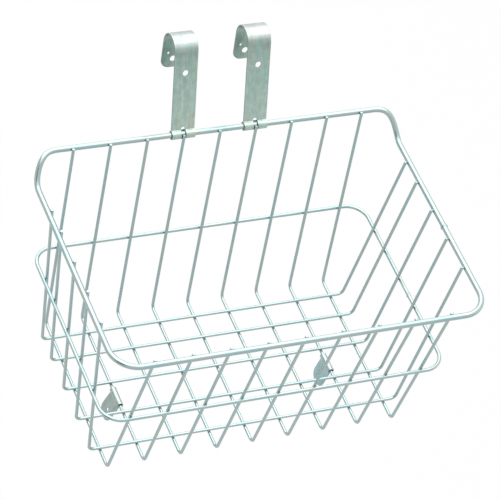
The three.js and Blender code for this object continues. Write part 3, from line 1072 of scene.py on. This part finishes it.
def add_aimed(name, data, place, aim):
    """A lamp or a card that stands at one place and faces another."""
    thing = bpy.data.objects.new(name, data)
    thing.location = place
    thing.rotation_mode = "QUATERNION"
    thing.rotation_quaternion = (Vector(aim) - Vector(place)).to_track_quat("-Z", "Y")
    bpy.context.scene.collection.objects.link(thing)
    return thing


def make_softbox(name, place, aim, width, height, radiance):
    light = bpy.data.lights.new(name, "AREA")
    light.shape = "RECTANGLE"
    light.size = width
    light.size_y = height
    light.energy = radiance * pi * width * height
    add_aimed(name, light, place, aim)


def make_dark_card(place, aim, width, height):
    """The dark side of the studio, left of the camera, which shows only as a reflection in bent wire."""
    right, top = width / 2, height / 2
    corners = [(-right, -top, 0), (right, -top, 0), (right, top, 0), (-right, top, 0)]
    mesh = bpy.data.meshes.new("dark_card")
    mesh.from_pydata(corners, [], [(0, 1, 2, 3)])
    shader = Shader("dark_card_look")
    shader.connect(shader.surface, {"Base Color": CARD_SHADE, "Roughness": 1})
    mesh.materials.append(shader.material)
    card = add_aimed("dark_card", mesh, place, aim)
    card.visible_camera = False
    card.visible_diffuse = False
    card.visible_shadow = False


def make_lights():
    make_softbox("top_softbox", (0, 1.2, 1.9), aim=(0, 1.2, 0), width=3.4, height=3.6, radiance=2.2)
    make_softbox("front_softbox", (0, -1.25, 1.9), aim=(0, -1.25, 0), width=3.4, height=1.3, radiance=0.8)
    make_softbox("back_softbox", (0, 3, 0.6), aim=(0, 0, 0.6), width=5, height=2.5, radiance=0.7)
    make_softbox("right_softbox", (2.3, 0, 0.3), aim=(0, 0, 0.3), width=3.6, height=2.2, radiance=0.3)
    make_dark_card((-1.7, -1.22, 0.82), aim=(0, -0.16, 0.82), width=1, height=1.9)


def make_camera():
    ahead = Vector(
        (
            sin(CAMERA_AZIMUTH) * cos(CAMERA_FALL),
            cos(CAMERA_AZIMUTH) * cos(CAMERA_FALL),
            -sin(CAMERA_FALL),
        )
    )
    level = ahead.cross(Vector((0, 0, 1))).normalized()
    upright = level.cross(ahead)
    right = level * cos(CAMERA_ROLL) + upright * sin(CAMERA_ROLL)
    up = right.cross(ahead)
    data = bpy.data.cameras.new("photo_camera")
    data.lens = CAMERA_LENS
    camera = bpy.data.objects.new("photo_camera", data)
    turn = Matrix((right, up, -ahead)).transposed().to_4x4()
    camera.matrix_world = Matrix.Translation(CAMERA_PLACE) @ turn
    bpy.context.scene.collection.objects.link(camera)
    bpy.context.scene.camera = camera


# The basket

def make_wires(material):
    tip = RIM_HEIGHT + TIP_RISE
    back_tip = rim_back_height + BACK_TIP_RISE
    sweep = (tip - cross_height) * tan(SIDE_SWEEP)
    long_wires = [
        bent_wire(
            [
                (x, -end_wall_at(tip), tip),
                (x, -floor_half_depth, 0),
                (x, floor_half_depth, 0),
                (x, end_wall_at(back_tip), back_tip),
            ]
        )
        for x in long_wire_x
    ]
    cross_wires = [
        bent_wire(
            [
                (-side_wall_at(tip), y + sweep, tip),
                (-floor_half_width, y, cross_height),
                (floor_half_width, y, cross_height),
                (side_wall_at(tip), y + sweep, tip),
            ]
        )
        for y in cross_wire_y
    ]
    for kind, lines in (("long", long_wires), ("cross", cross_wires)):
        for i, line in enumerate(lines, 1):
            radii = np.full(len(line), LATTICE_WIRE / 2)
            round_wire(f"wire_{kind}_{i}", line, radii, WIRE_SIDES, material, f"{kind}_wire_{i}")


def make_loops(material):
    rim = loop_line(
        outside_side(RIM_HEIGHT, RIM_WIRE),
        -outside_end(RIM_HEIGHT, RIM_WIRE),
        rim_back_y,
        RIM_FRONT_CORNER,
        RIM_BACK_CORNER,
    )
    hoop_end = outside_end(HOOP_HEIGHT, HOOP_WIRE)
    hoop = loop_line(
        outside_side(HOOP_HEIGHT, HOOP_WIRE),
        -hoop_end,
        hoop_end,
        HOOP_CORNER,
        HOOP_CORNER,
    )
    loops = [
        ("rim", "rim_wire", climbing(rim), RIM_WIRE, RIM_BUTT_Y),
        ("hoop", "middle_hoop", hoop + [0, 0, HOOP_HEIGHT], HOOP_WIRE, HOOP_BUTT_Y),
    ]
    for name, node, line, diameter, butt_y in loops:
        line = from_weld(line, butt_y)
        radii = butt_weld(line, diameter / 2, butt_y)
        round_wire(name, line, radii, LOOP_SIDES, material, node, closed=True)


def make_sheets():
    strap_metal = zinc_sheet("zinc_strap_look", STRAP_STRIP_LENGTH, STRAP_PAINTED_SHADING)
    for side in ("left", "right"):
        clip_metal = zinc_sheet(f"zinc_{side}_clip_look", CLIP_STRIP_LENGTH, CLIP_TINTS_AND_PAINTED_LIGHT[side])
        hook_strap(side, strap_metal)
        stay_clip(side, clip_metal)


make_camera()
noise.seed_set(NOISE_SEED)
wire_metal = zinc_wire()
make_wires(wire_metal)
make_loops(wire_metal)
make_welds(wire_metal)
make_sheets()
make_world()
make_floor()
make_lights()
bpy.context.scene.view_settings.view_transform = "Standard"
